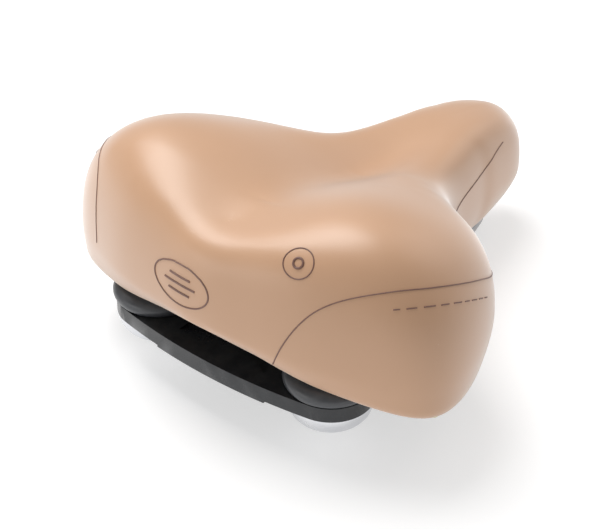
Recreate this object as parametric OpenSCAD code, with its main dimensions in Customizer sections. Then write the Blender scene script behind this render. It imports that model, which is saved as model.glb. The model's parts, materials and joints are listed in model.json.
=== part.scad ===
// Wide comfort saddle for a bicycle. Millimetres. +X is the rider's right, +Y the nose, +Z up.
// The origin lies midway between the two rails, at the middle of their straight clamping stretch.

/* [Overall size] */
// Length from the rear edge to the tip of the nose
saddle_length = 262; // [218:1:315]
// Width across the two rear lobes
saddle_width = 226; // [188:1:272]
// Distance from the middle of the clamping stretch back to the rear edge
rear_reach = 119; // [99:1:143]
// How far the seat's base line lies below the bumpers' heads, which carry the seat
seat_drop = 28.6; // [23.8:0.1:34.4]

/* [Padding] */
// Height that each rear lobe adds to the crown line
lobe_height = 31.5; // [20:0.5:38]
// Distance of each lobe's summit from the middle
lobe_x = 78; // [60:1:94]
// Distance of the lobes' summits from the rear edge
lobe_setback = 41; // [30:1:50]
// Depth of the channel along the middle
channel_depth = 15.5; // [0:0.5:19]
// Half width of the channel
channel_w = 20; // [14:1:30]
// Thickness of each gel pad
gel_t = 7; // [3:0.5:10]

/* [Cover] */
// Thickness of the synthetic leather
cover_t = 1.5; // [1:0.1:2.2]
// Width of the hem that is folded under the shell's rim
hem_w = 7; // [5.5:0.5:9]
// Number of staples on each side
staples_side = 11; // [6:1:16]
// Length of a staple's crown
staple_w = 8; // [5:0.5:10]
// Thickness of a staple's wire
staple_t = 0.8; // [0.5:0.1:1.2]

/* [Shell] */
// Wall of the moulded shell
shell_t = 3; // [2.5:0.1:4]
// Foam between the cover and the side of the shell
side_foam = 3; // [2:0.5:5]
// How far the shell's top lies below the crown line
tray_drop = 28; // [23:1:34]
// Thickness of the ribs under the shell
rib_t = 2.4; // [1.5:0.1:4]
// Depth of the ribs below the shell's top
rib_depth = 9; // [6:0.5:12]

/* [Rails] */
// Diameter of the rail wire
rail_d = 7; // [5.8:0.1:8.4]
// Spacing of the rails, centre to centre, where the seat post holds them
rail_spacing = 44; // [36:1:53]
// Length of the straight stretch that the seat post's clamp holds
clamp_length = 62; // [50:1:75]
// Spacing of the two legs at the nose
nose_spacing = 24; // [20:0.5:30]
// Distance of the nose cross bar from the tip of the nose
pivot_setback = 39; // [32:1:47]
// Height of the nose cross bar above the rails
pivot_z = 12.5; // [10:0.5:16]

/* [Rear bridge] */
// Distance of each bumper from the middle
bumper_x = 55; // [45:1:66]
// Distance of the bumpers from the rear edge
bumper_setback = 35.5; // [29:0.5:43]
// Radius of the bridge round each bumper
bridge_r = 21.5; // [17.5:0.5:26]
// Thickness of the bridge
bridge_t = 8; // [6.5:0.1:10]
// Height of the bridge's underside above the rails
bridge_z = 26; // [21.5:0.1:31.5]
// Extra thickness under the middle, where the rails lie in it
belly_t = 1.2; // [1:0.1:3]
// Thickness of the bar that clamps the rails to the bridge
rail_clamp_t = 5.5; // [4.5:0.5:8]

/* [Bumpers] */
// Height of the rubber bumpers
bumper_h = 20.5; // [17:0.5:25]
// Largest radius of a bumper
bumper_r = 23; // [19:0.1:28]
// Radius of the bumper's foot on the bridge
bumper_foot_r = 20; // [16:0.1:24]
// Radius of the bumper's head
bumper_top_r = 15; // [12:0.5:18]
// Diameter of the bumper bolts
bolt_d = 8; // [6:0.5:10]
// Radius of the domed caps
cap_r = 21; // [17.5:0.5:25.5]
// Depth of the domed caps
cap_depth = 14; // [11.5:0.5:18]
// Wall of the domed caps
cap_t = 1.3; // [1:0.1:2]

/* [Hidden] */
$fn = 48;

// Clearances
layer_gap = 0.2;      // between one layer of the upholstery and the next
bumper_gap = 0.1;     // between a bumper's head and the shell
pivot_gap = 0.05;     // radial running clearance on the nose cross bar
grip_gap = 0.02;      // radial clearance where a groove grips a rail or a collar seats
bolt_gap = 1.2;       // radial clearance where a bolt passes through the bridge
seat_gap = 0.3;       // between a bolt's washer and the bridge at rest

// Outline of the seat at its widest line, from the middle of the rear edge to the nose.
// Each row: half width as a share of the full half width, station as a share of the length,
// height of the widest line, height of the bottom edge, how far the skirt tucks in below.
rim = [
    [0.000, 0.000, 42.3, 34.4, 0.8],
    [0.206, 0.010, 37.9, 29.2, 4.6],
    [0.620, 0.056, 34.9, 18.5, 3.4],
    [1.000, 0.167, 32.9,  6.8, 1.5],
    [0.886, 0.405, 31.2,  0.4, 6.6],
    [0.412, 0.551, 26.8, -4.6, 6.5],
    [0.270, 0.729, 20.5, -7.5, 5.8],
    [0.242, 0.818, 13.9, -8.0, 6.0],
    [0.174, 0.944,  7.7, -7.0, 6.5],
    [0.000, 1.000,  1.9, -6.1, 6.5]
];
// Crown line along the middle: station as a share of the length, and height.
crown = [
    [-0.071, 75.5], [0.120, 65.8], [0.349, 73.4], [0.578, 62.3], [0.769, 55.7], [0.960, 43.2]
];
spine = [0.112, 0.845];   // stations between which the padding crests, as shares of the length
lobe_w = 71;              // how far a lobe spreads sideways
lobe_l = 51;              // how far a lobe spreads lengthways
channel_mid = 0.415;      // station of the channel's deepest point
channel_l = 68;           // how far the channel spreads lengthways
edge_power = [4.5, 3.3];  // fullness of the padding's shoulder at the rear and at the nose
edge_root = [2.0, 3.2];   // roundness of that shoulder at the rear and at the nose

steps = 4;                             // points along each stretch of the outline
rows = len(rim);
side = (rows - 1) * steps;             // index of the nose
around = 2 * side;
top_rings = 8;
skirt_rings = 3;
pad_rings = [2, 6];                    // rings that a gel pad covers
pad_columns = [7, 17];                 // columns of the outline that a gel pad covers
pad_edge_t = 1;                        // thickness of a gel pad at its edge

rail_r = rail_d / 2;
rear_y = -rear_reach;
nose_y = rear_y + saddle_length;
pivot_y = nose_y - pivot_setback;
bumper_y = rear_y + bumper_setback;
bridge_top = bridge_z + bridge_t;
bridge_rear = bumper_y - bridge_r;
belly_z = bridge_z - belly_t;
seat_z = bridge_top + bumper_h + bumper_gap;
seat_lift = seat_z - seat_drop;
shell_inset = cover_t + 2 * layer_gap + side_foam;
room_r = bumper_foot_r + 0.8;          // radius of the room that the upholstery leaves for a bumper
rim_room_r = room_r + 4.5;             // the outline comes no nearer to a bumper's axis than this
waist_z = 9.5;                         // height of a bumper's waist above its foot
hem_top = cover_t + layer_gap;

// ---- Curves ----

function spline4(a, b, c, d, t) =
    0.5 * (2 * b + (c - a) * t + (2 * a - 5 * b + 4 * c - d) * t * t + (3 * b - a - 3 * c + d) * t * t * t);

function flipped(row) = [-row[0], row[1], row[2], row[3], row[4]];

function rim_row(i) = i < 0 ? flipped(rim[-i]) : i > rows - 1 ? flipped(rim[2 * (rows - 1) - i]) : rim[i];

function rim_at(k) =
    let (i = min(floor(k / steps), rows - 2), t = k / steps - i)
    spline4(rim_row(i - 1), rim_row(i), rim_row(i + 1), rim_row(i + 2), t);

// A rim point in millimetres: [x, y, height of the widest line, height of the edge, tuck]
function sized(row) = [
    row[0] * saddle_width / 2, rear_y + row[1] * saddle_length, row[2] + seat_lift, row[3] + seat_lift, row[4]
];

// On a narrow saddle the rear corner is moved out, clear of the bumper, and further where its edge
// hangs below the bumper's waist.
function kept_clear(p) =
    let (
        d = [p[0] - bumper_x, p[1] - bumper_y],
        least = rim_room_r + 1.3 * max(bridge_top + waist_z - p[3], 0),
        away = d * max(least / norm(d), 1)
    )
    [bumper_x + away[0], bumper_y + away[1], p[2], p[3], p[4]];

half_rim = [for (k = [0:side]) kept_clear(sized(rim_at(k)))];

function rim_point(j) =
    let (k = (j + around) % around)
    k <= side ? half_rim[k] : flipped(half_rim[around - k]);

function rim_normal(j) =
    let (a = rim_point(j - 1), b = rim_point(j + 1), d = [b[1] - a[1], a[0] - b[0]])
    d / norm(d);

// Direction in which column j moves when its layer is set in, sized so that one unit of inset
// is one unit measured square to the outline. It points at the spine, so no columns cross.
function inward(j) =
    let (rp = rim_point(j), d = [rp[0], rp[1] - foot_y(rp[1])])
    -d / (d * rim_normal(j));

function station(y) = (y - rear_y) / saddle_length;

function slope_at(i) =
    let (last = len(crown) - 1, a = crown[max(i - 1, 0)], b = crown[min(i + 1, last)])
    (b[1] - a[1]) / (b[0] - a[0]);

function crown_span(s, i = 0) = i >= len(crown) - 2 || s < crown[i + 1][0] ? i : crown_span(s, i + 1);

function crown_height(y) =
    let (
        s = station(y),
        i = crown_span(s),
        h = crown[i + 1][0] - crown[i][0],
        t = (s - crown[i][0]) / h
    )
    seat_lift + (2 * t ^ 3 - 3 * t ^ 2 + 1) * crown[i][1] + (t ^ 3 - 2 * t ^ 2 + t) * h * slope_at(i)
        + (3 * t ^ 2 - 2 * t ^ 3) * crown[i + 1][1] + (t ^ 3 - t ^ 2) * h * slope_at(i + 1);

function bump(d, w) = exp(-(d / w) ^ 2);

function lobes(x, y) =
    lobe_height * (bump(x - lobe_x, lobe_w) + bump(x + lobe_x, lobe_w)) * bump(y - rear_y - lobe_setback, lobe_l);

function channel(x, y) =
    channel_depth * bump(x, channel_w) * bump(y - rear_y - channel_mid * saddle_length, channel_l);

function seat_height(x, y) = crown_height(y) + lobes(x, y) - channel(x, y);

function tray_height(y) = crown_height(y) - tray_drop;

// ---- Layers of the upholstery ----
// Every layer uses the same rings and columns, moved in from the outline by inset.

function foot_y(y) = rear_y + saddle_length * (spine[0] + (spine[1] - spine[0]) * station(y));

function shoulder(r, y) =
    let (
        p = edge_power[0] + (edge_power[1] - edge_power[0]) * station(y),
        q = edge_root[0] + (edge_root[1] - edge_root[0]) * station(y)
    )
    max(1 - r ^ p, 0) ^ (1 / q);

// Point of ring i and column j on the top of a layer. drop lowers it; tray picks the shell's flat top.
function top_point(i, j, inset, drop, tray) =
    let (
        rp = rim_point(j),
        foot = foot_y(rp[1]),
        r = sin(90 * i / top_rings),
        x = rp[0] * r,
        y = foot + (rp[1] - foot) * r,
        h = (tray ? tray_height(y) : seat_height(x, y)) - drop,
        in = inward(j) * inset * r
    )
    [i == 0 ? 0 : x + in[0], i == 0 ? foot : y + in[1], rp[2] + (h - rp[2]) * shoulder(r, rp[1])];

// Point of the skirt below the widest line: s runs from 0 there to 1 at the bottom edge.
function skirt_point(s, j, inset, raise) =
    let (rp = rim_point(j), in = inward(j) * (inset + rp[4] * (1 - cos(90 * s))))
    [rp[0] + in[0], rp[1] + in[1], rp[2] + (rp[3] + raise - rp[2]) * s];

function in_pad(i, j) =
    let (k = min(j, around - j))
    i >= pad_rings[0] && i <= pad_rings[1] && k >= pad_columns[0] && k <= pad_columns[1];

function pad_depth(i, j) =
    let (
        k = min(j, around - j),
        on_edge = i == pad_rings[0] || i == pad_rings[1] || k == pad_columns[0] || k == pad_columns[1]
    )
    on_edge ? pad_edge_t : gel_t;

columns = [0:around - 1];

function top_layer(inset, drop, tray) =
    [for (i = [0:top_rings]) [for (j = columns) top_point(i, j, inset, drop, tray)]];

function foam_top(inset, drop) = [
    for (i = [0:top_rings]) [
        for (j = columns)
            top_point(i, j, inset, drop + (in_pad(i, j) ? pad_depth(i, j) + layer_gap : 0), false)
    ]
];

function skirt_layer(inset, raise) =
    [for (m = [1:skirt_rings]) [for (j = columns) skirt_point(m / skirt_rings, j, inset, raise)]];

function reversed(list) = [for (i = [len(list) - 1:-1:0]) list[i]];

function joined(list) = [for (part = list) each part];

// A closed solid through rings whose first and last ring both lie on the middle line.
// From the ring numbered inner on, the rings belong to the inner surface, which runs back up: its cells are
// split along the same diagonals as the outer surface's, so that layers nest without crossing.
module skin(rings, inner) {
    last = len(rings) - 1;
    function at(i, j) =
        let (k = j % around)
        i * around + ((i == 0 || i == last) && k > side ? around - k : k);
    faces = [
        for (i = [0:last - 1]) for (j = columns) for (half = [0, 1])
            let (a = at(i, j), b = at(i, j + 1), c = at(i + 1, j + 1), d = at(i + 1, j))
            i < inner ? (half == 0 ? [a, b, c] : [a, c, d]) : (half == 0 ? [a, b, d] : [b, c, d])
    ];
    polyhedron(points = joined(rings), faces = faces, convexity = 6);
}

// Distance from the middle of the nearer bumper, seen from above
function to_bumper(p) = norm([abs(p[0]) - bumper_x, p[1] - bumper_y]);

// The hem narrows beside the bumpers, to leave room for them.
function hem_at(j) =
    let (room = to_bumper(skirt_point(1, j, 0, 0)) - room_r)
    max(cover_t + 0.5, min(hem_w, 0.6 * room));

// The room is wider round a bumper's swell than round its head.
module bumper_room() {
    for (s = [-1, 1]) {
        translate([s * bumper_x, bumper_y, bridge_top - 10])
        cylinder(r = room_r, h = seat_z - bridge_top + 10);
        translate([s * bumper_x, bumper_y, bridge_top - 10])
        cylinder(r = bumper_r + 0.8, h = 10 + waist_z - 1.5);
    }
}

module cover() {
    hem = [for (raise = [0, cover_t]) [for (j = columns) skirt_point(1, j, hem_at(j), raise)]];
    outside = concat(top_layer(0, 0, false), skirt_layer(0, 0), [hem[0], hem[1]]);
    inside = concat(reversed(skirt_layer(cover_t, cover_t)), reversed(top_layer(cover_t, cover_t, false)));
    color([0.82, 0.66, 0.54])
    skin(concat(outside, inside), len(outside));
}

module foam() {
    outer = cover_t + layer_gap;
    inner = shell_inset - layer_gap;
    outside = concat(foam_top(outer, outer), skirt_layer(outer, hem_top));
    inside = concat(reversed(skirt_layer(inner, hem_top)), reversed(top_layer(inner, -layer_gap, true)));
    color([0.93, 0.90, 0.78])
    difference() {
        skin(concat(outside, inside), len(outside));
        bumper_room();
    }
}

// One gel pad: the patch of the foam's top between its rings and columns.
module gel(columns_of_pad) {
    outer = cover_t + layer_gap;
    ring_list = [pad_rings[0]:pad_rings[1]];
    m = pad_rings[1] - pad_rings[0];
    n = len(columns_of_pad);
    upper = [for (i = ring_list) for (j = columns_of_pad) top_point(i, j, outer, outer, false)];
    lower = [for (i = ring_list) for (j = columns_of_pad) top_point(i, j, outer, outer + pad_depth(i, j), false)];
    base = len(upper);
    // The patch's edge, in order round it
    edge = concat(
        [for (k = [0:n - 2]) k],
        [for (i = [0:m - 1]) i * n + n - 1],
        [for (k = [n - 1:-1:1]) m * n + k],
        [for (i = [m:-1:1]) i * n]
    );
    count = len(edge);
    color([0.55, 0.72, 0.80, 0.8])
    polyhedron(
        points = concat(upper, lower),
        faces = [
            for (i = [0:m - 1]) for (k = [0:n - 2]) for (half = [0, 1])
                let (a = i * n + k, b = a + 1, c = a + n + 1, d = a + n)
                half == 0 ? [a, b, c] : [a, c, d],
            for (i = [0:m - 1]) for (k = [0:n - 2]) for (half = [0, 1])
                let (a = base + i * n + k, b = a + 1, c = a + n + 1, d = a + n)
                half == 0 ? [c, b, a] : [d, c, a],
            for (e = [0:count - 1]) for (half = [0, 1])
                let (a = edge[e], b = edge[(e + 1) % count])
                half == 0 ? [b, a, base + a] : [b, base + a, base + b]
        ],
        convexity = 4
    );
}

module gel_right() {
    gel([for (j = [pad_columns[0]:pad_columns[1]]) j]);
}

module gel_left() {
    gel([for (j = [around - pad_columns[1]:around - pad_columns[0]]) j]);
}

// ---- Shell ----

boss_r = 16.5;            // radius of the pad that each bumper bears on
insert_r = 6;             // radius of the threaded inserts
insert_h = 0.73 * (tray_height(bumper_y) - seat_z);   // length of the threaded inserts
web_sink = shell_t / 2;   // how far a rib or boss runs up into the shell's top
bracket_w = 11;           // width of the nose bracket
bracket_l = 26;           // length of the nose bracket
clip_screw_r = 2;         // radius of the nose clip's screws
clip_screw_y = 8.5;       // distance of those screws from the cross bar
clip_t = 6.5;             // thickness of the nose clip
clip_screw_depth = 9;     // how far they go up into the bracket

// An upright plate under the shell, from y0 to y1, whose top follows the shell. bottom is its lower edge:
// a list of [y, z] points from y1 back to y0.
module web(x, width, y0, y1, bottom) {
    cuts = 8;
    top_edge = [for (k = [0:cuts]) let (y = y0 + (y1 - y0) * k / cuts) [y, tray_height(y) - web_sink]];
    translate([x - width / 2, 0, 0])
    rotate([90, 0, 90])
    linear_extrude(width)
    polygon(concat(top_edge, bottom));
}

module rib(x, y0, y1) {
    cuts = 8;
    web(x, rib_t, y0, y1, [
        for (k = [cuts:-1:0]) let (y = y0 + (y1 - y0) * k / cuts) [y, tray_height(y) - rib_depth]
    ]);
}

module cross_rib(y, half_w) {
    z = tray_height(y) - rib_depth;
    translate([-half_w, y - rib_t / 2, z])
    cube([2 * half_w, rib_t, rib_depth - web_sink - 1]);
}

module tray() {
    inner = shell_inset + shell_t;
    outside = concat(top_layer(shell_inset, 0, true), skirt_layer(shell_inset, hem_top));
    inside = concat(reversed(skirt_layer(inner, hem_top)), reversed(top_layer(inner, shell_t, true)));
    skin(concat(outside, inside), len(outside));
}

module shell() {
    color([0.08, 0.08, 0.09])
    difference() {
        union() {
            tray();
            for (s = [-1, 1]) {
                rib(s * 10, rear_y + 26, pivot_y - bracket_l / 2 - 4);
                translate([s * bumper_x, bumper_y, seat_z])
                cylinder(r = boss_r, h = tray_height(bumper_y) - web_sink - seat_z);
            }
            cross_rib(bumper_y + 10, 62);
            cross_rib(bumper_y + 42, 50);
            web(
                0, bracket_w, pivot_y - bracket_l / 2, pivot_y + bracket_l / 2,
                [[pivot_y + bracket_l / 2, pivot_z], [pivot_y - bracket_l / 2, pivot_z]]
            );
        }
        bumper_room();
        for (s = [-1, 1]) {
            translate([s * bumper_x, bumper_y, seat_z - 1])
            cylinder(r = insert_r, h = insert_h + 1);
            translate([0, pivot_y + s * clip_screw_y, pivot_z - 1])
            cylinder(r = clip_screw_r, h = clip_screw_depth + 1);
        }
        translate([-bracket_w, pivot_y, pivot_z])
        rotate([0, 90, 0])
        cylinder(r = rail_r + pivot_gap, h = 2 * bracket_w);
    }
}

// Staples through the hem into the shell's rim, with their crowns under the hem.
module staple(p, along) {
    across = cross([0, 0, 1], along);
    up = cross(along, across);
    legs = cover_t + layer_gap + 3.5;
    multmatrix([
        [along[0], across[0], up[0], p[0]],
        [along[1], across[1], up[1], p[1]],
        [along[2], across[2], up[2], p[2]],
        [0, 0, 0, 1]
    ])
    union() {
        translate([-staple_w / 2, -staple_t / 2, -staple_t / 2])
        cube([staple_w, staple_t, staple_t]);
        for (s = [-1, 1]) {
            translate([s * (staple_w - staple_t) / 2 - staple_t / 2, -staple_t / 2, -staple_t / 2])
            cube([staple_t, staple_t, legs]);
        }
    }
}

module cover_staples() {
    inset = shell_inset + shell_t / 2;
    first = 3;
    last = side - 4;
    color([0.75, 0.76, 0.78])
    for (s = [0, 1]) for (k = [0:staples_side - 1]) {
        j = round(first + (last - first) * k / (staples_side - 1));
        c = s == 0 ? j : around - j;
        p = skirt_point(1, c, inset, 0);
        q = skirt_point(1, c + 1, inset, 0) - skirt_point(1, c - 1, inset, 0);
        // None where the hem narrows beside a bumper
        if (to_bumper(p) > room_r + staple_w) {
            staple([p[0], p[1], p[2] - staple_t / 2], q / norm(q));
        }
    }
}

// ---- Nose clip ----

head_r = 3.4;    // radius of the clip screws' heads
head_h = 2.2;    // height of the clip screws' heads

module nose_clip() {
    color([0.10, 0.10, 0.11])
    difference() {
        translate([-bracket_w / 2, pivot_y - bracket_l / 2, pivot_z - clip_t])
        cube([bracket_w, bracket_l, clip_t]);
        translate([-bracket_w, pivot_y, pivot_z])
        rotate([0, 90, 0])
        cylinder(r = rail_r + pivot_gap, h = 2 * bracket_w);
        for (s = [-1, 1]) {
            translate([0, pivot_y + s * clip_screw_y, pivot_z - clip_t - 1])
            cylinder(r = clip_screw_r, h = clip_t + 2);
        }
    }
}

// A pan-head screw whose head bears on z = 0 from below, with a hexagon socket.
module screw(shank_r, shank_l, cap_radius, cap_height) {
    difference() {
        union() {
            cylinder(r = shank_r, h = shank_l);
            translate([0, 0, -cap_height])
            cylinder(r = cap_radius, h = cap_height);
        }
        translate([0, 0, -cap_height - 1])
        cylinder(r = cap_radius * 0.5, h = 1 + cap_height * 0.6, $fn = 6);
    }
}

module nose_clip_screws() {
    color([0.70, 0.71, 0.73])
    for (s = [-1, 1]) {
        translate([0, pivot_y + s * clip_screw_y, pivot_z - clip_t])
        screw(clip_screw_r, clip_t + clip_screw_depth - 0.5, head_r, head_h);
    }
}

// ---- Bumper bolts ----

bolt_r = bolt_d / 2;
bore_depth = 4;                                      // depth of the counterbore under the bridge
bore_r = 12.5;                                       // radius of that counterbore
washer_t = 1.5;
washer_r = bolt_r + 5.5;
bolt_head_r = bolt_r + 2.5;
bolt_head_h = 4.6;
washer_z = bridge_z + bore_depth - seat_gap - washer_t;
bolt_tip = 0.3;                                      // space left over the bolt's tip

module at_bumper(s) {
    translate([s * bumper_x, bumper_y, 0])
    children();
}

module insert() {
    color([0.80, 0.66, 0.34])
    translate([0, 0, seat_z])
    difference() {
        cylinder(r = insert_r, h = insert_h - bolt_tip);
        translate([0, 0, -1])
        cylinder(r = bolt_r, h = insert_h + 2);
    }
}

module bolt() {
    color([0.72, 0.73, 0.75])
    translate([0, 0, washer_z])
    screw(bolt_r, seat_z + insert_h - bolt_tip - washer_z, bolt_head_r, bolt_head_h);
}

module washer() {
    color([0.72, 0.73, 0.75])
    translate([0, 0, washer_z])
    difference() {
        cylinder(r = washer_r, h = washer_t);
        translate([0, 0, -1])
        cylinder(r = bolt_r, h = washer_t + 2);
    }
}

module insert_left() at_bumper(-1) insert();
module insert_right() at_bumper(1) insert();
module bolt_left() at_bumper(-1) bolt();
module bolt_right() at_bumper(1) bolt();
module washer_left() at_bumper(-1) washer();
module washer_right() at_bumper(1) washer();

// ---- Rails ----

rail_end_y = bridge_rear + 6;          // where the rails stop inside the bridge
rail_bend_y = bumper_y + 16;           // where they leave the level of the bridge
clamp_bend = 8;                        // setback of the bends at each end of the straight stretch
rear_bend = 7;                         // setback of the bends behind them
nose_bend = 6;                         // setback of the bends at the cross bar

right_leg = [
    [rail_spacing / 2, rail_end_y, belly_z],
    [rail_spacing / 2, rail_bend_y, belly_z],
    [rail_spacing / 2, -clamp_length / 2 - clamp_bend, 0],
    [rail_spacing / 2, clamp_length / 2 + clamp_bend, 0],
    [nose_spacing / 2, pivot_y, pivot_z]
];
lap = 0.2;                             // how far a straight length reaches into a bend
bend_thinning = 0.02;
leg_bends = [0, rear_bend, clamp_bend, clamp_bend, nose_bend];

function unit(v) = v / norm(v);

module placed(origin, x, y, z) {
    multmatrix([
        [x[0], y[0], z[0], origin[0]],
        [x[1], y[1], z[1], origin[1]],
        [x[2], y[2], z[2], origin[2]],
        [0, 0, 0, 1]
    ])
    children();
}

module straight(a, b, r) {
    d = unit(b - a);
    x = unit(cross([0, 0, 1], d));
    placed(a, x, cross(d, x), d)
    cylinder(r = r, h = norm(b - a));
}

module bend(before, corner, after, setback, r) {
    a = unit(corner - before);
    b = unit(after - corner);
    turn = acos(a * b);
    bend_r = setback / tan(turn / 2);
    out = -unit(b - (a * b) * a);
    placed(corner - a * setback - out * bend_r, out, a, cross(out, a))
    rotate_extrude(angle = turn)
    translate([bend_r, 0])
    circle(r = r);
}

// A round rod through corner points, each corner rounded from setback before it to setback after it.
// The wire is a hair thinner round its bends, and the straight lengths reach a little way into them.
module bent_rod(points, setbacks, r) {
    last = len(points) - 1;
    for (i = [0:last - 1]) {
        d = unit(points[i + 1] - points[i]);
        from = max(setbacks[i] - lap, 0);
        to = max(setbacks[i + 1] - lap, 0);
        straight(points[i] + d * from, points[i + 1] - d * to, r);
    }
    for (i = [1:last - 1]) {
        bend(points[i - 1], points[i], points[i + 1], setbacks[i], r - bend_thinning);
    }
}

module rail_frame() {
    left_leg = [for (p = reversed(right_leg)) [-p[0], p[1], p[2]]];
    color([0.74, 0.75, 0.77])
    bent_rod(concat(right_leg, left_leg), concat(leg_bends, reversed(leg_bends)), rail_r);
}

// ---- Rear bridge ----

step_depth = 1.2;       // depth of the step in the bridge's top
step_front = 14;        // distance of the step's middle from the rear edge
step_r = 47;            // radius of the step's arc
step_half_w = 27;
arch_r = 90;            // radius of the bridge's hollow front edge
arch_mid = 28;          // depth of the bridge from rear to front at the middle
bow = 5;                // how far the bridge's rear edge bows out between its ends
bow_rise = (bumper_x ^ 2 - bow ^ 2) / (2 * bow);
bow_r = bow_rise + bridge_r + bow;
bow_half_w = bumper_x * bow_r / (bow_r - bridge_r) - 0.3;   // where the bowed edge runs into the round ends
belly_half_w = 34;
bar_half_w = 30;        // half width of the rail clamp bar
bar_l = 20;             // length of the rail clamp bar
bar_y = bridge_rear + 8;
bar_screw_x = 11;
bar_screw_r = 2.5;
bar_head_r = 4.2;
bar_head_h = 2.6;
bar_screw_l = rail_clamp_t + belly_t + 5;

module bridge_outline() {
    for (s = [-1, 1]) {
        translate([s * bumper_x, bumper_y])
        circle(r = bridge_r);
    }
    difference() {
        intersection() {
            translate([-bow_half_w, bridge_rear - bow])
            square([2 * bow_half_w, 2 * bridge_r + bow - 2]);
            translate([0, bumper_y + bow_rise])
            circle(r = bow_r, $fn = 720);
        }
        translate([0, bridge_rear + arch_mid + arch_r])
        circle(r = arch_r);
    }
}

module belly_outline() {
    intersection() {
        translate([-belly_half_w, bridge_rear - bow])
        square([2 * belly_half_w, arch_mid + bow]);
        translate([0, bumper_y + bow_rise])
        circle(r = bow_r, $fn = 720);
    }
}

module rear_bridge() {
    color([0.05, 0.05, 0.06])
    difference() {
        union() {
            translate([0, 0, bridge_z])
            linear_extrude(bridge_t)
            bridge_outline();
            translate([0, 0, belly_z])
            linear_extrude(belly_t + 1)
            belly_outline();
        }
        for (s = [-1, 1]) {
            at_bumper(s) {
                translate([0, 0, bridge_z - 1])
                cylinder(r = bolt_r + bolt_gap, h = bridge_t + 2);
                translate([0, 0, bridge_z - 1])
                cylinder(r = bore_r, h = bore_depth + 1);
            }
            translate([s * rail_spacing / 2, rail_end_y - 1, belly_z])
            rotate([-90, 0, 0])
            cylinder(r = rail_r + grip_gap, h = 60);
            translate([s * bar_screw_x, bar_y + bar_l / 2, belly_z - 1])
            cylinder(r = bar_screw_r, h = bar_screw_l - rail_clamp_t + 1.5);
        }
        translate([0, 0, bridge_top - step_depth])
        linear_extrude(step_depth + 1)
        difference() {
            translate([-step_half_w, bridge_rear + 1])
            square([2 * step_half_w, 60]);
            translate([0, bridge_rear + step_front - step_r])
            circle(r = step_r);
        }
    }
}

module rail_clamp_bar() {
    color([0.12, 0.12, 0.13])
    difference() {
        translate([-bar_half_w, bar_y, belly_z - rail_clamp_t])
        cube([2 * bar_half_w, bar_l, rail_clamp_t]);
        for (s = [-1, 1]) {
            translate([s * rail_spacing / 2, bar_y - 1, belly_z])
            rotate([-90, 0, 0])
            cylinder(r = rail_r + grip_gap, h = bar_l + 2);
            translate([s * bar_screw_x, bar_y + bar_l / 2, belly_z - rail_clamp_t - 1])
            cylinder(r = bar_screw_r, h = rail_clamp_t + 2);
        }
    }
}

module rail_clamp_screws() {
    color([0.70, 0.71, 0.73])
    for (s = [-1, 1]) {
        translate([s * bar_screw_x, bar_y + bar_l / 2, belly_z - rail_clamp_t])
        screw(bar_screw_r, bar_screw_l, bar_head_r, bar_head_h);
    }
}

// ---- Bumpers and caps ----

waist_r = bumper_top_r - 2;     // radius of the bumper between its swell and its head
swell_z = 4;                    // height of the bumper's widest line above its foot

// Half section of a bumper: a broad swell above the foot, a waist and a narrower head.
module bumper() {
    head_mid = (bumper_h + waist_z) / 2;
    below = [for (a = [0:15:75]) [
        bumper_foot_r + (bumper_r - bumper_foot_r) * sin(a), swell_z * (1 - cos(a))
    ]];
    above = [for (a = [0:10:90]) [
        waist_r + (bumper_r - waist_r) * cos(a), swell_z + (waist_z - swell_z) * sin(a)
    ]];
    head = [for (a = [-75:15:90]) [
        waist_r + (bumper_top_r - waist_r) * cos(a), head_mid + (bumper_h - head_mid) * sin(a)
    ]];
    color([0.14, 0.14, 0.15])
    translate([0, 0, bridge_top])
    rotate_extrude()
    polygon(concat([[bolt_r + 1, 0]], below, above, head, [[bolt_r + 1, bumper_h]]));
}

dome_power = 2.6;       // fullness of the caps' domed section
collar_t = 1.2;         // wall of the collar inside each cap
collar_r = bore_r - 0.1;

// Depth of a dome of the given radius and depth, at a distance r from its axis
function dome(r, radius, depth) = depth * (1 - (r / radius) ^ dome_power) ^ (1 / dome_power);

module cap() {
    inner_r = cap_r - cap_t;
    inner_d = cap_depth - cap_t;
    outer = [for (a = [0:6:90]) [cap_r * cos(a) ^ (2 / dome_power), -cap_depth * sin(a) ^ (2 / dome_power)]];
    inner = [for (a = [90:-6:0]) [inner_r * cos(a) ^ (2 / dome_power), -inner_d * sin(a) ^ (2 / dome_power)]];
    foot_z = -dome(collar_r - collar_t, inner_r, inner_d) - cap_t / 3;
    color([0.83, 0.84, 0.86])
    translate([0, 0, bridge_z])
    union() {
        rotate_extrude()
        polygon(concat(outer, inner));
        translate([0, 0, foot_z])
        difference() {
            cylinder(r = collar_r, h = bore_depth - 1 - foot_z);
            translate([0, 0, -1])
            cylinder(r = collar_r - collar_t, h = bore_depth - foot_z + 2);
        }
    }
}

module bumper_left() at_bumper(-1) bumper();
module bumper_right() at_bumper(1) bumper();
module cap_left() at_bumper(-1) cap();
module cap_right() at_bumper(1) cap();

cover();
foam();
gel_left();
gel_right();
shell();
cover_staples();
nose_clip();
nose_clip_screws();
insert_left();
insert_right();
bolt_left();
bolt_right();
washer_left();
washer_right();
rail_frame();
rear_bridge();
rail_clamp_bar();
rail_clamp_screws();
bumper_left();
bumper_right();
cap_left();
cap_right();
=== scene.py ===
# %% [markdown]
# Comfort saddle for a bicycle.
# The hard parts were drawn in CAD and arrive as a fixed frame. This lesson adds what CAD leaves out:
# the soft cover with its printed lines, rounded edges on the mouldings, and a finish for every surface.
# Everything is in metres: +X is the rider's right, +Y the nose and +Z up.

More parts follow.
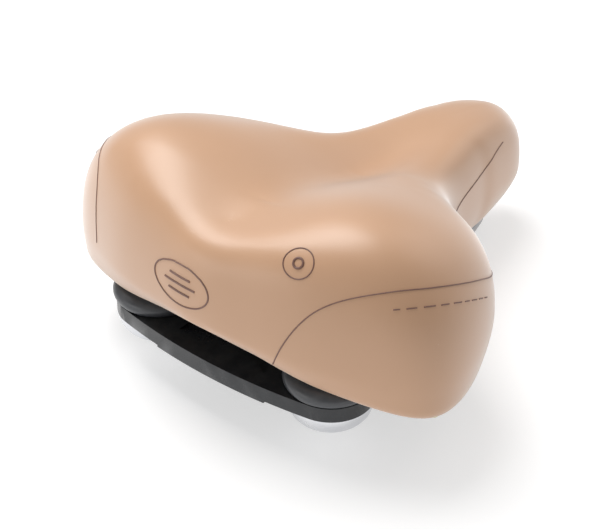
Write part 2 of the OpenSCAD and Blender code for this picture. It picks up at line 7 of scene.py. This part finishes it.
# %% Load the frame
import json
import math
import bpy
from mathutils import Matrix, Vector


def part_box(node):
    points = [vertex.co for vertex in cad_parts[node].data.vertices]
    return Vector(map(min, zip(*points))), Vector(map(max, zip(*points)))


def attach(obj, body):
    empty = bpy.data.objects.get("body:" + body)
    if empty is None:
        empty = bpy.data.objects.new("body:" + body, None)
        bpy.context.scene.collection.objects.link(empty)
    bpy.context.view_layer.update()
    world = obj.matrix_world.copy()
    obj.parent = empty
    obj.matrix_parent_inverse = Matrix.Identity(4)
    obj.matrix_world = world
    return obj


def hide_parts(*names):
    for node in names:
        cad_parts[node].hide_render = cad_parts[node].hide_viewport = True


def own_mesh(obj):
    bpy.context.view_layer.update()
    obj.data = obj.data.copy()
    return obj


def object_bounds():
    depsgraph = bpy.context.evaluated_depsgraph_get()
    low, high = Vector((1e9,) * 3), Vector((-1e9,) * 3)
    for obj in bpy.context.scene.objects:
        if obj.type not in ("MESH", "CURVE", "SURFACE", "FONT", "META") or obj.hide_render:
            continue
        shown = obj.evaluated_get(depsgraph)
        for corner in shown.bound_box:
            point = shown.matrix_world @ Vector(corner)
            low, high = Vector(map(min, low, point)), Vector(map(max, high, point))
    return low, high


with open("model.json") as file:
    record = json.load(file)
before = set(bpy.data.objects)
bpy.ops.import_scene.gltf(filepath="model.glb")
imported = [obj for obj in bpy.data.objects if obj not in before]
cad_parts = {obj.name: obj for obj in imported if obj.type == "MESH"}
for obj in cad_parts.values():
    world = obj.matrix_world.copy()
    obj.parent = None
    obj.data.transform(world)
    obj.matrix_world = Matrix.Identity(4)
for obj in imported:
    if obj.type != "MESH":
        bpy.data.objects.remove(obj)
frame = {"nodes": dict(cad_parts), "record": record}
cad_low, cad_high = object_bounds()
NODES = frame["nodes"]
MM = 0.001
print("CAD box in mm:", [round(v / MM, 1) for v in (cad_high - cad_low)])

# %% [markdown]
# The camera comes first, because it decides how much detail each surface needs.
# A long lens a metre away gives the calm, nearly parallel lines of a product picture.
# It looks down on the rear right corner of the saddle.

# %% Camera
VIEW_AZIMUTH = math.radians(39.24)
VIEW_ELEVATION = math.radians(35.87)
VIEW_DISTANCE = 0.9838
VIEW_TARGET = Vector((-0.0148, -0.0210, 0.0343))
LENS_MM = 115.36

view_back = Vector((
    math.sin(VIEW_AZIMUTH) * math.cos(VIEW_ELEVATION),
    -math.cos(VIEW_AZIMUTH) * math.cos(VIEW_ELEVATION),
    math.sin(VIEW_ELEVATION),
))
camera_data = bpy.data.cameras.new("studio_camera")
camera_data.sensor_width = 36
camera_data.lens = LENS_MM
camera = bpy.data.objects.new("studio_camera", camera_data)
camera.location = VIEW_TARGET + view_back * VIEW_DISTANCE
camera.rotation_euler = (-view_back).to_track_quat("-Z", "Y").to_euler()
bpy.context.collection.objects.link(camera)
bpy.context.scene.camera = camera
print("camera at", [round(v, 3) for v in camera.location])

# %% [markdown]
# A soft studio: a pale floor that glows a little, a weak white sky all round, and three area lamps.
# The key lamp hangs nearly overhead, a little to the left, so the flanks fall away into a soft tan;
# a long strip lamp draws the glints on the black bridge, and a weak fill opens the shadows at the
# front. Large lamps give soft edges to every highlight.

# %% Floor, sky and lamps
FLOOR_DROP = 0.0002
FLOOR_SIZE = 12
FLOOR_GLOW = 0.56
SKY_STRENGTH = 0.32
WHITE = (1, 1, 1, 1)


def aim(thing, at):
    thing.rotation_euler = (Vector(at) - thing.location).to_track_quat("-Z", "Y").to_euler()


def soft_lamp(name, place, at, width, height, watts):
    data = bpy.data.lights.new(name, "AREA")
    data.shape = "RECTANGLE"
    data.size = width
    data.size_y = height
    data.energy = watts
    lamp = bpy.data.objects.new(name, data)
    lamp.location = place
    bpy.context.collection.objects.link(lamp)
    aim(lamp, at)
    return lamp


sky = bpy.data.worlds.new("studio_sky")
sky.use_nodes = True
sky.node_tree.nodes["Background"].inputs["Color"].default_value = WHITE
sky.node_tree.nodes["Background"].inputs["Strength"].default_value = SKY_STRENGTH
bpy.context.scene.world = sky
bpy.context.scene.view_settings.view_transform = "Standard"

bpy.ops.object.select_all(action="DESELECT")
bpy.ops.mesh.primitive_plane_add(size=FLOOR_SIZE, location=(0, 0, cad_low.z - FLOOR_DROP))
floor = bpy.context.object
floor.name = "studio_floor"

seat_middle = (0.0, -0.02, 0.06)
soft_lamp("key_lamp", (-0.50, 0.05, 1.20), seat_middle, 0.9, 0.9, 16.5)
soft_lamp("strip_lamp", (-0.45, -1.15, 0.30), seat_middle, 0.9, 0.22, 2.4)
soft_lamp("fill_lamp", (0.3, 1.1, 0.9), seat_middle, 1.0, 1.0, 3.0)

# %% [markdown]
# Small helpers that stand for what a hand does in the viewport: pick one object, copy a CAD part,
# and apply a modifier. A CAD part arrives as loose triangles, so its copy is merged first.

# %% Helpers for picking, copying and applying
MERGE_DISTANCE = 0.000002


def only(thing):
    """Selects one object and makes it active."""
    if bpy.context.object and bpy.context.object.mode != "OBJECT":
        bpy.ops.object.mode_set(mode="OBJECT")
    bpy.ops.object.select_all(action="DESELECT")
    thing.select_set(True)
    bpy.context.view_layer.objects.active = thing
    return thing


def apply(thing, kind, **settings):
    """Adds one modifier with its settings and applies it."""
    only(thing)
    modifier = thing.modifiers.new(kind.lower(), kind)
    for key, value in settings.items():
        setattr(modifier, key, value)
    bpy.ops.object.modifier_apply(modifier=modifier.name)


def merged_copy(node, name):
    """A separate copy of a CAD part with its triangles joined into one skin."""
    copy = bpy.data.objects.new(name, NODES[node].data.copy())
    bpy.context.collection.objects.link(copy)
    only(copy)
    bpy.ops.object.mode_set(mode="EDIT")
    bpy.ops.mesh.select_all(action="SELECT")
    bpy.ops.mesh.remove_doubles(threshold=MERGE_DISTANCE)
    bpy.ops.object.mode_set(mode="OBJECT")
    return copy


def tell(piece):
    low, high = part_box(piece.name) if piece.name in NODES else box_of(piece)
    print(piece.name, "faces", len(piece.data.polygons), "size mm", [round(v / MM, 1) for v in (high - low)])


def box_of(piece):
    points = [v.co for v in piece.data.vertices]
    low = Vector([min(p[i] for p in points) for i in range(3)])
    high = Vector([max(p[i] for p in points) for i in range(3)])
    return low, high


BODY_OF = {node: body for body, group in frame["record"]["behaviour"]["bodies"].items() for node in group}
SLOT_OF = {part["node"]: part["material_slot"] for part in frame["record"]["subparts"]}


def stands_for(piece, *nodes):
    """The piece rides with the CAD part it replaces, which is then hidden."""
    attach(piece, BODY_OF[nodes[0]])
    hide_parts(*nodes)
    tell(piece)


# %% [markdown]
# The shared effects come as node groups: a leather or moulding grain that feeds a bump, soft cloudy
# patches that shift a colour or a roughness, and thin dust that settles on what faces up.
# Each is built once and placed in many materials with its own numbers.

# %% Node groups for grain, clouds and dust
def node_group(name, numbers, outputs):
    group = bpy.data.node_groups.new(name, "ShaderNodeTree")
    for label, value in numbers.items():
        socket = group.interface.new_socket(label, in_out="INPUT", socket_type="NodeSocketFloat")
        socket.default_value = value
    for label in outputs:
        group.interface.new_socket(label, in_out="OUTPUT", socket_type="NodeSocketFloat")
    start = group.nodes.new("NodeGroupInput")
    end = group.nodes.new("NodeGroupOutput")
    place = group.nodes.new("ShaderNodeTexCoord").outputs["Object"]
    return group, start, end, place


def maths(group, operation, first, second=None, third=None, clamp=False):
    node = group.nodes.new("ShaderNodeMath")
    node.operation = operation
    node.use_clamp = clamp
    for socket, value in zip(node.inputs, (first, second, third)):
        if value is None:
            continue
        if isinstance(value, (int, float)):
            socket.default_value = value
        else:
            group.links.new(value, socket)
    return node.outputs[0]


def noise(group, place, scale, detail, roughness=0.5):
    node = group.nodes.new("ShaderNodeTexNoise")
    group.links.new(place, node.inputs["Vector"])
    node.inputs["Detail"].default_value = detail
    node.inputs["Roughness"].default_value = roughness
    if isinstance(scale, (int, float)):
        node.inputs["Scale"].default_value = scale
    else:
        group.links.new(scale, node.inputs["Scale"])
    return node.outputs["Fac"]


def build_grain():
    """Pebbles with creases between them, as on embossed synthetic leather or textured plastic."""
    group, start, end, place = node_group("pebble_grain", {"Scale": 900.0, "Crease": 0.6}, ["Height"])
    cells = group.nodes.new("ShaderNodeTexVoronoi")
    cells.feature = "DISTANCE_TO_EDGE"
    warp = group.nodes.new("ShaderNodeVectorMath")
    warp.operation = "MULTIPLY_ADD"
    ripple = group.nodes.new("ShaderNodeTexNoise")
    ripple.inputs["Scale"].default_value = 260.0
    ripple.inputs["Detail"].default_value = 2.0
    group.links.new(place, ripple.inputs["Vector"])
    group.links.new(ripple.outputs["Color"], warp.inputs[0])
    warp.inputs[1].default_value = (0.0012, 0.0012, 0.0012)
    group.links.new(place, warp.inputs[2])
    group.links.new(warp.outputs[0], cells.inputs["Vector"])
    group.links.new(start.outputs["Scale"], cells.inputs["Scale"])
    dome = maths(group, "MINIMUM", maths(group, "MULTIPLY", cells.outputs["Distance"], 4.0), 1.0)
    fine = noise(group, place, maths(group, "MULTIPLY", start.outputs["Scale"], 3.0), 3.0)
    creased = maths(group, "MULTIPLY", dome, start.outputs["Crease"])
    group.links.new(maths(group, "ADD", creased, maths(group, "MULTIPLY", fine, 0.5)), end.inputs["Height"])
    return group


def build_clouds():
    """Soft patches, from 0 to 1."""
    group, start, end, place = node_group("cloudy_patches", {"Scale": 14.0, "Contrast": 1.6}, ["Value"])
    field = noise(group, place, start.outputs["Scale"], 5.0, 0.55)
    centred = maths(group, "SUBTRACT", field, 0.5)
    value = maths(group, "MULTIPLY_ADD", centred, start.outputs["Contrast"], 0.5, clamp=True)
    group.links.new(value, end.inputs["Value"])
    return group


def build_dust():
    """Thin dust where a surface faces up, broken into specks and streaks."""
    group, start, end, place = node_group("settled_dust", {"Amount": 0.3, "Scale": 60.0}, ["Mask"])
    facing = group.nodes.new("ShaderNodeNewGeometry")
    parts = group.nodes.new("ShaderNodeSeparateXYZ")
    group.links.new(facing.outputs["Normal"], parts.inputs[0])
    up = maths(group, "MULTIPLY_ADD", parts.outputs["Z"], 0.75, 0.25, clamp=True)
    field = noise(group, place, start.outputs["Scale"], 6.0, 0.65)
    patchy = maths(group, "MULTIPLY_ADD", field, 2.4, -0.7, clamp=True)
    mask = maths(group, "MULTIPLY", maths(group, "MULTIPLY", up, patchy), start.outputs["Amount"])
    group.links.new(mask, end.inputs["Mask"])
    return group


GRAIN = build_grain()
CLOUDS = build_clouds()
DUST = build_dust()
print("groups:", [g.name for g in bpy.data.node_groups])

# %% [markdown]
# Every finish on the saddle follows one recipe: a base colour that clouds drift through, a roughness
# that the same clouds disturb, dust, and a grain that feeds a bump. What differs is the numbers,
# so one function builds them all and a few finishes add a step of their own.

# %% The recipe for a finish
def group_node(tree, group, **numbers):
    node = tree.nodes.new("ShaderNodeGroup")
    node.node_tree = group
    for label, value in numbers.items():
        node.inputs[label].default_value = value
    return node


def blend_colour(tree, mask, first, second):
    node = tree.nodes.new("ShaderNodeMix")
    node.data_type = "RGBA"
    tree.links.new(mask, node.inputs[0])
    for socket, value in ((node.inputs[6], first), (node.inputs[7], second)):
        if isinstance(value, tuple):
            socket.default_value = (*value, 1)
        else:
            tree.links.new(value, socket)
    return node.outputs[2]


DUST_COLOUR = (0.34, 0.32, 0.29)


def finish(
    name, light, dark, rough, cloud=(14, 1.6), grain=(900, 0.6),
    bump=0.1, depth=0.0002, dust=0.0, metallic=0.0,
):
    """A finish whose colour runs from dark to light and whose roughness runs over the pair rough."""
    material = bpy.data.materials.new(name)
    material.use_nodes = True
    tree = material.node_tree
    shader = tree.nodes["Principled BSDF"]
    shader.inputs["Metallic"].default_value = metallic
    clouds = group_node(tree, CLOUDS, Scale=cloud[0], Contrast=cloud[1]).outputs["Value"]
    colour = blend_colour(tree, clouds, dark, light)
    roughness = maths(tree, "MULTIPLY_ADD", clouds, rough[1] - rough[0], rough[0])
    if dust:
        mask = group_node(tree, DUST, Amount=dust).outputs["Mask"]
        colour = blend_colour(tree, mask, colour, DUST_COLOUR)
        roughness = maths(tree, "MULTIPLY_ADD", mask, 0.5, roughness, clamp=True)
    tree.links.new(colour, shader.inputs["Base Color"])
    tree.links.new(roughness, shader.inputs["Roughness"])
    relief = tree.nodes.new("ShaderNodeBump")
    relief.inputs["Strength"].default_value = bump
    relief.inputs["Distance"].default_value = depth
    pebbles = group_node(tree, GRAIN, Scale=grain[0], Crease=grain[1])
    tree.links.new(pebbles.outputs["Height"], relief.inputs["Height"])
    tree.links.new(relief.outputs["Normal"], shader.inputs["Normal"])
    return material


def wear(thing, material):
    thing.data.materials.clear()
    thing.data.materials.append(material)


# %% [markdown]
# The finishes themselves. The cover is tan synthetic leather with a broad sheen under a thin, dull
# coat; the bridge is a semi-gloss black moulding; the bumpers are smooth dark rubber; the caps are satin chrome.

# %% The finishes
leather = finish(
    "tan_leather", (0.590, 0.350, 0.212), (0.540, 0.314, 0.184), (0.38, 0.46),
    cloud=(9, 1.5), grain=(1100, 0.7), bump=0.12, depth=0.00012,
)
LEATHER_GLOSS = {
    "Sheen Weight": 0.8, "Sheen Roughness": 0.35,
    "Coat Weight": 0.35, "Coat Roughness": 0.38,
}
for label, value in LEATHER_GLOSS.items():
    leather.node_tree.nodes["Principled BSDF"].inputs[label].default_value = value
print_ink = finish(
    "printed_ink", (0.215, 0.115, 0.085), (0.165, 0.085, 0.065), (0.42, 0.50),
    cloud=(220, 2.0), grain=(1100, 0.7), bump=0.1, depth=0.0001,
)
foam_finish = finish(
    "cast_foam", (0.86, 0.80, 0.60), (0.74, 0.66, 0.45), (0.86, 0.96),
    cloud=(70, 2.2), grain=(1500, 0.9), bump=0.5,
)
gel_finish = finish(
    "soft_gel", (0.30, 0.52, 0.66), (0.20, 0.40, 0.56), (0.12, 0.25),
    cloud=(40, 1.5), bump=0.05,
)
shell_finish = finish(
    "shell_moulding", (0.030, 0.030, 0.032), (0.018, 0.018, 0.020), (0.48, 0.62),
    cloud=(26, 1.8), grain=(1600, 0.8), bump=0.25, dust=0.12,
)
bridge_finish = finish(
    "bridge_moulding", (0.022, 0.024, 0.028), (0.013, 0.015, 0.018), (0.16, 0.26),
    cloud=(34, 1.7), grain=(2200, 0.4), bump=0.04, dust=0.10,
)
rubber = finish(
    "bumper_rubber", (0.062, 0.066, 0.074), (0.044, 0.047, 0.053), (0.28, 0.38),
    cloud=(60, 1.8), grain=(1800, 0.5), bump=0.1, dust=0.16,
)
rail_steel = finish(
    "rail_steel", (0.52, 0.52, 0.53), (0.40, 0.40, 0.41), (0.24, 0.38),
    cloud=(90, 2.0), grain=(2600, 0.3), bump=0.06, metallic=1.0,
)
plated = finish(
    "plated_steel", (0.64, 0.63, 0.60), (0.50, 0.49, 0.46), (0.22, 0.36),
    cloud=(180, 2.0), grain=(3000, 0.3), bump=0.05, metallic=1.0,
)
chrome = finish(
    "satin_chrome", (0.74, 0.75, 0.77), (0.64, 0.65, 0.68), (0.20, 0.30),
    cloud=(120, 1.8), grain=(3600, 0.3), bump=0.05, depth=0.00005, metallic=1.0,
)
turned_brass = finish(
    "turned_brass", (0.78, 0.56, 0.24), (0.62, 0.42, 0.16), (0.22, 0.36),
    cloud=(160, 2.0), grain=(3000, 0.3), bump=0.05, metallic=1.0,
)
floor_finish = finish(
    "studio_paper", (0.56, 0.56, 0.56), (0.55, 0.55, 0.55), (0.9, 0.95), cloud=(3, 1.0), bump=0.02
)
floor_shader = floor_finish.node_tree.nodes["Principled BSDF"]
floor_shader.inputs["Emission Color"].default_value = WHITE
floor_shader.inputs["Emission Strength"].default_value = FLOOR_GLOW
wear(floor, floor_finish)
FINISH_OF_SLOT = {
    "tan_leather": leather, "foam": foam_finish, "gel": gel_finish, "shell_plastic": shell_finish,
    "bridge_plastic": bridge_finish, "bumper_rubber": rubber, "rail_steel": rail_steel,
    "plated_steel": plated, "satin_chrome": chrome, "brass": turned_brass,
}
for node, thing in NODES.items():
    wear(thing, FINISH_OF_SLOT[SLOT_OF[node]])
print("finishes:", len(FINISH_OF_SLOT))

# %% [markdown]
# The cover is one skin stretched over foam. CAD holds it as flat triangles, so its copy is merged,
# its triangles are paired into four-sided faces, and two rounds of subdivision turn them into a
# smooth, tight surface. Cloth simulation would blow the skin off the channel between the lobes,
# and the moulded foam under it doesn't sag, so subdivision is the better way here.

# %% Cover, foam and gel as smooth skins
PAIR_ANGLE = math.radians(60)
SKIN_ANGLE = math.radians(50)


def smooth_skin(node, name, rounds):
    skin = merged_copy(node, name)
    bpy.ops.object.mode_set(mode="EDIT")
    bpy.ops.mesh.select_all(action="SELECT")
    bpy.ops.mesh.tris_convert_to_quads(face_threshold=PAIR_ANGLE, shape_threshold=PAIR_ANGLE)
    bpy.ops.object.mode_set(mode="OBJECT")
    if rounds:
        apply(skin, "SUBSURF", levels=rounds, render_levels=rounds)
    bpy.ops.object.shade_smooth_by_angle(angle=SKIN_ANGLE)
    return skin


cover = smooth_skin("cover", "cover_skin", 2)
wear(cover, leather)
stands_for(cover, "cover")

foam = smooth_skin("foam", "foam_pad", 0)
wear(foam, foam_finish)
stands_for(foam, "foam")

for side in ("left", "right"):
    gel = smooth_skin("gel_" + side, "gel_pad_" + side, 1)
    wear(gel, gel_finish)
    stands_for(gel, "gel_" + side)

# %% [markdown]
# Thin dark lines are printed on the cover: one long line round each flank, an oval mark at the back
# with three plain bars, a small ring on the right lobe and a row of dashes under each flank line.
# A flat image would slide over the curves, so each line is a fine thread laid on the cover: its path
# is drawn as a curve, pulled onto the skin, and given a round section that sinks half way in.

# %% Threads laid on the cover
THREAD_RADIUS = 0.34 * MM
DOT_RADIUS = 0.6 * MM
OVAL_RADIUS = 0.45 * MM
BAR_RADIUS = 0.62 * MM


def spline_through(points, per_span=8):
    """Points along a smooth curve through the given ones."""
    ends = [points[0], *points, points[-1]]
    path = []
    for i in range(1, len(ends) - 2):
        a, b, c, d = (Vector(p) for p in ends[i - 1:i + 3])
        for k in range(per_span):
            t = k / per_span
            path.append(0.5 * (
                2 * b + (c - a) * t + (2 * a - 5 * b + 4 * c - d) * t ** 2 + (3 * b - a - 3 * c + d) * t ** 3
            ))
    return path + [Vector(points[-1])]


def laid_thread(name, path, closed=False, radius=THREAD_RADIUS):
    """A thread along a path in millimetres, pulled onto the cover."""
    wire = bpy.data.meshes.new(name)
    count = len(path)
    edges = [(i, (i + 1) % count) for i in range(count if closed else count - 1)]
    wire.from_pydata([Vector(p) * MM for p in path], edges, [])
    thread = bpy.data.objects.new(name, wire)
    bpy.context.collection.objects.link(thread)
    apply(thread, "SHRINKWRAP", target=cover, wrap_method="NEAREST_SURFACEPOINT", offset=0)
    bpy.ops.object.convert(target="CURVE")
    thread = bpy.context.object
    thread.data.bevel_depth = radius
    thread.data.bevel_resolution = 2
    thread.data.use_fill_caps = not closed
    bpy.ops.object.convert(target="MESH")
    bpy.ops.object.shade_smooth()
    thread = bpy.context.object
    thread.name = name
    wear(thread, print_ink)
    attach(thread, BODY_OF["cover"])
    return thread


FLANK_LINE = [
    (42.0, -111.5, 53), (48.1, -110.9, 67.9), (54.1, -108.3, 79.6), (60.4, -104.6, 88.4),
    (67.2, -100.2, 94.2), (74.6, -95.4, 98.2), (82.6, -89.8, 101.0), (91.6, -81.2, 102.5),
    (99.0, -68.7, 100.4), (102.6, -50.3, 93.8),
    (102.0, -32.9, 85.9), (97.4, -15.5, 76.5), (84, 1, 68), (66, 17, 62), (48, 33, 59), (36, 52, 58.5),
    (30, 74, 58.7), (27.4, 83.9, 59.8), (25.0, 94.4, 62), (24.0, 104, 63),
]
DASH_LINE = [
    (92.5, -87, 95.6), (102.3, -72.9, 94.2), (106.6, -55.4, 88.3), (106.4, -42, 82), (104.8, -29.4, 75.4),
]
DASHES = 9
DASH_FILL = 0.62
LEFT_FIRST_DASH = 2
RING_RADIUS = 7.4
RING_CENTRE = (48.0, -99.2, 107.9)
OVAL = dict(x=-9.0, z=81.0, half_width=19.0, half_height=11.5, lean=0.10)
LEFT_LINE = [
    (-81.0, -100.5, 62), (-81.3, -101.2, 67), (-81.6, -100.6, 72), (-82.5, -98.7, 82),
    (-84.5, -95.4, 92.5), (-89.5, -89.6, 100.5), (-97.5, -75.0, 104.0), (-104.5, -54.0, 98.0),
    (-104.0, -32.9, 87.5), (-98.5, -15.5, 77.5), (-84, 1, 68), (-66, 17, 62), (-48, 33, 59),
    (-36, 52, 58.5), (-30, 74, 58.7), (-27.4, 83.9, 59.8), (-25.0, 94.4, 62), (-24.0, 104, 63),
]


def mirrored(path, hand):
    return [(p[0] * hand, p[1], p[2]) for p in path]


def ring_path(centre, radius, steps=48):
    """A circle round a centre, drawn in the plane that faces back and up."""
    out = Vector((centre[0] / 160, -0.70, 0.70)).normalized()
    across = out.cross(Vector((0, 0, 1))).normalized()
    up = across.cross(out)
    turn = [2 * math.pi * k / steps for k in range(steps)]
    return [Vector(centre) + across * radius * math.cos(a) + up * radius * math.sin(a) for a in turn]


def oval_point(u, v):
    """A point of the rear mark: u runs across and v up, both from -1 to 1 at the oval."""
    return (OVAL["x"] + OVAL["half_width"] * u, -122, OVAL["z"] + OVAL["half_height"] * v + OVAL["lean"] * u)


threads = [
    laid_thread("flank_line_right", spline_through(FLANK_LINE)),
    laid_thread("flank_line_left", spline_through(LEFT_LINE)),
    laid_thread("lobe_ring", ring_path(RING_CENTRE, RING_RADIUS), closed=True),
    laid_thread("lobe_dot", ring_path(RING_CENTRE, RING_RADIUS * 0.32, 24), closed=True, radius=DOT_RADIUS),
]
for side, hand in (("left", -1), ("right", 1)):
    dash_path = spline_through(DASH_LINE, 12)
    step = len(dash_path) / DASHES
    for k in range(0 if side == "right" else LEFT_FIRST_DASH, DASHES):
        piece = dash_path[int(k * step):int(k * step + step * DASH_FILL) + 1]
        threads.append(laid_thread(f"dash_{side}_{k + 1}", mirrored(piece, hand)))
oval_turn = [2 * math.pi * k / 72 for k in range(72)]
threads.append(laid_thread(
    "rear_oval", [oval_point(math.cos(a), math.sin(a)) for a in oval_turn], closed=True, radius=OVAL_RADIUS
))
for k, (v, reach) in enumerate(((0.38, 0.38), (0.0, 0.56), (-0.38, 0.38))):
    bar = [oval_point(-reach + 2 * reach * i / 12, v) for i in range(13)]
    threads.append(laid_thread(f"rear_bar_{k + 1}", bar, radius=BAR_RADIUS))
print("threads:", len(threads), "triangles", sum(len(t.data.polygons) for t in threads) * 2)

# %% [markdown]
# Mouldings and screws never have knife edges. A copy of each of those CAD parts is merged, its flat faces
# are cleaned, and a bevel rounds the edges that are sharp. Flat faces keep flat shading through
# weighted normals.

# %% Rounded copies of the hard parts
FLAT_ANGLE = math.radians(0.6)
HARD_PART_ANGLE = math.radians(38)


def rounded_copy(node, name, width, segments=2, angle=32):
    piece = merged_copy(node, name)
    bpy.ops.object.mode_set(mode="EDIT")
    bpy.ops.mesh.select_all(action="SELECT")
    bpy.ops.mesh.dissolve_limited(angle_limit=FLAT_ANGLE)
    bpy.ops.object.mode_set(mode="OBJECT")
    apply(
        piece, "BEVEL", width=width, segments=segments, limit_method="ANGLE",
        angle_limit=math.radians(angle), use_clamp_overlap=True, harden_normals=False,
    )
    bpy.ops.object.shade_smooth_by_angle(angle=HARD_PART_ANGLE)
    apply(piece, "WEIGHTED_NORMAL", keep_sharp=True)
    apply(piece, "TRIANGULATE")
    wear(piece, FINISH_OF_SLOT[SLOT_OF[node]])
    stands_for(piece, node)
    return piece


rounded_copy("rear_bridge", "bridge_body", 0.9 * MM, 3)
rounded_copy("rail_clamp_bar", "clamp_bar_body", 0.6 * MM)
for side in ("left", "right"):
    rounded_copy("bolt_" + side, "bolt_body_" + side, 0.5 * MM)
    rounded_copy("washer_" + side, "washer_ring_" + side, 0.2 * MM)
rounded_copy("rail_clamp_screws", "clamp_screw_pair", 0.3 * MM)
rounded_copy("nose_clip", "nose_clip_body", 0.5 * MM)
rounded_copy("nose_clip_screws", "clip_screw_pair", 0.3 * MM)

# %% [markdown]
# The bumpers and the caps are turned shapes. Each is drawn as half a section and spun round its axis,
# which gives a truly smooth surface where the CAD mesh shows facets. A bumper is squeezed as the seat
# rocks down on it.

# %% Spun bumpers and caps
BUMPER_X, BUMPER_Y = 55.0, -83.5
BUMPER_BASE = 34.0
CAP_BASE = 26.0
SPIN_MERGE = 0.00001
SPUN_ANGLE = math.radians(40)
BORE = 5.05
FOOT = 0.05
HEAD = 20.5


def arc(centre, reach, start, stop, steps):
    """Points of a quarter or more of an oval: centre and reach are (radius, height) pairs."""
    turns = [math.radians(start + (stop - start) * k / steps) for k in range(steps + 1)]
    return [(centre[0] + reach[0] * math.cos(a), centre[1] + reach[1] * math.sin(a)) for a in turns]


def spun(name, section, hand, base, steps=72):
    """Half a section, as (radius, height) pairs in millimetres, spun round the bumper's axis."""
    wire = bpy.data.meshes.new(name)
    place = Vector((hand * BUMPER_X, BUMPER_Y, base)) * MM
    points = [place + Vector((r, 0, z)) * MM for r, z in section]
    wire.from_pydata(points, [(i, i + 1) for i in range(len(points) - 1)], [])
    piece = bpy.data.objects.new(name, wire)
    bpy.context.collection.objects.link(piece)
    only(piece)
    bpy.ops.object.mode_set(mode="EDIT")
    bpy.ops.mesh.select_all(action="SELECT")
    bpy.ops.mesh.spin(steps=steps, angle=2 * math.pi, center=place, axis=(0, 0, 1))
    bpy.ops.mesh.select_all(action="SELECT")
    bpy.ops.mesh.remove_doubles(threshold=SPIN_MERGE)
    bpy.ops.mesh.normals_make_consistent(inside=False)
    bpy.ops.object.mode_set(mode="OBJECT")
    bpy.ops.object.shade_smooth_by_angle(angle=SPUN_ANGLE)
    return piece


# From the bore out over the foot's rounded rim, in over the swell, then up the neck and back.
foot_turns = [math.radians(a) for a in range(0, 90, 6)]
swell_turns = [math.radians(a) for a in range(0, 91, 6)]
foot_rim = [(20 + 3 * math.sin(a), FOOT + 4 * (1 - math.cos(a))) for a in foot_turns]
swell = [(13 + 10 * math.cos(a), 4 + 5.5 * math.sin(a)) for a in swell_turns]
neck = arc((13, 15), (2, 5.5), -75, 90, 22)
BUMPER_SECTION = [(BORE, FOOT)] + foot_rim + swell + neck + [(BORE, HEAD), (BORE, FOOT)]


def dome(radius, depth, power=2.6, step=3):
    """A domed line from the rim to the axis."""
    line = []
    for a in range(0, 90, step):
        turn = math.radians(a)
        line.append((radius * math.cos(turn) ** (2 / power), -depth * math.sin(turn) ** (2 / power)))
    return line + [(0.0, -depth)]


COLLAR_IN, COLLAR_OUT = 11.2, 12.4
COLLAR_LOW, COLLAR_HIGH = -9.0, 3.0
CAP_RADIUS, CAP_DEPTH = 21.0, 14.0
HOLLOW_RADIUS, HOLLOW_DEPTH = 19.7, 12.7

# The dome's outside, its hollow up to the collar, the collar, the rest of the hollow, and the lip.
hollow = list(reversed(dome(HOLLOW_RADIUS, HOLLOW_DEPTH)[1:-1]))
CAP_SECTION = dome(CAP_RADIUS, CAP_DEPTH)[1:] + [(0.0, -HOLLOW_DEPTH)]
CAP_SECTION += [p for p in hollow if p[0] < COLLAR_IN]
CAP_SECTION += [
    (COLLAR_IN, COLLAR_LOW), (COLLAR_IN, COLLAR_HIGH), (COLLAR_OUT, COLLAR_HIGH), (COLLAR_OUT, COLLAR_LOW),
]
CAP_SECTION += [p for p in hollow if p[0] > COLLAR_OUT]
CAP_SECTION += [(19.9, -0.1), (20.35, 0.0), (20.8, -0.1), CAP_SECTION[0]]

for side, hand in (("left", -1), ("right", 1)):
    bumper = spun("bumper_body_" + side, BUMPER_SECTION, hand, BUMPER_BASE)
    wear(bumper, rubber)
    stands_for(bumper, "bumper_" + side)
    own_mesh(bumper)
    cap = spun("cap_body_" + side, CAP_SECTION, hand, CAP_BASE)
    wear(cap, chrome)
    stands_for(cap, "cap_" + side)

# %% [markdown]
# The shell, the rails, the staples and the inserts keep their CAD shape. Their copies are shaded smooth
# across the gentle angles, so that a round wire looks round and a moulded wall looks curved.

# %% Smooth-shaded copies
def shaded_copy(node, name, angle):
    piece = merged_copy(node, name)
    bpy.ops.object.shade_smooth_by_angle(angle=math.radians(angle))
    wear(piece, FINISH_OF_SLOT[SLOT_OF[node]])
    stands_for(piece, node)
    return piece


shaded_copy("shell", "shell_tray", 35)
shaded_copy("rail_frame", "rail_wire", 40)
shaded_copy("cover_staples", "staple_row", 20)
for side in ("left", "right"):
    shaded_copy("insert_" + side, "insert_body_" + side, 40)
